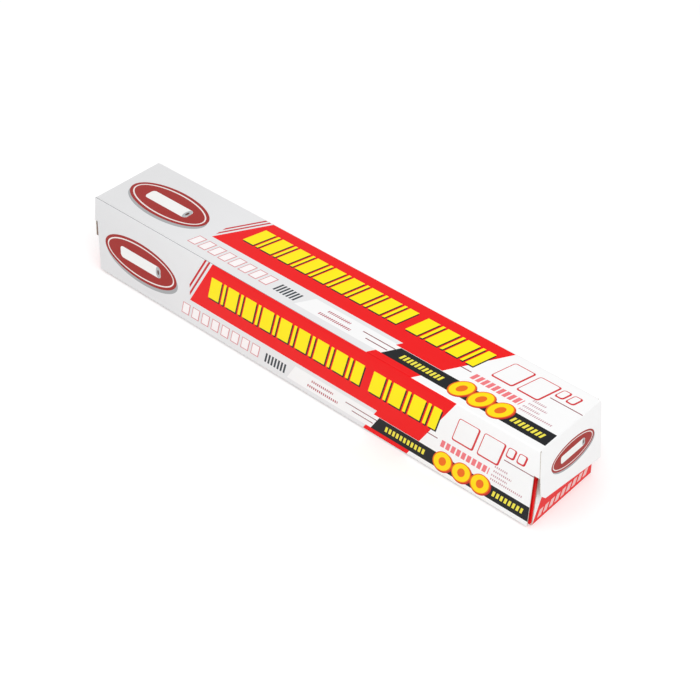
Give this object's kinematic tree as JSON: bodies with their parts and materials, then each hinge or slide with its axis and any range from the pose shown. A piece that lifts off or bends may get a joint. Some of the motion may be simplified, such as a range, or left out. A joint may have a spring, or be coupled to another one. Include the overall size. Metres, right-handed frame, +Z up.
{
  "type": "aluminium foil roll in a dispenser carton",
  "caption": "Roll of kitchen foil on a card tube, lying in a long square folding carton with a hinged lid whose front flap carries a serrated steel cutter.",
  "frame": {"origin": "middle of the tray's underside, on the surface the carton stands on", "axes": "+X along the roll, to the right seen from the front; -Y is the front, where the lid opens and the foil comes out; +Z up"},
  "size_m": [0.3226, 0.0523, 0.05],
  "materials": {
    "printed_board": "gloss varnish over print",
    "cutter_steel": "bright tinplate",
    "foil": "bright rolled foil",
    "tube_board": "plain wound board"
  },
  "bodies": {
    "tray": {"carton_tray": "printed_board", "foil_roll": "foil", "core_tube": "tube_board"},
    "lid": {"carton_lid": "printed_board", "cutter_blade": "cutter_steel"}
  },
  "joints": [
    {"name": "lid_hinge", "type": "hinge", "parent": "tray", "child": "lid", "pos_m": [0, 0.0241, 0.05], "axis": [-1, 0, 0], "range_deg": [0, 170]}
  ]
}
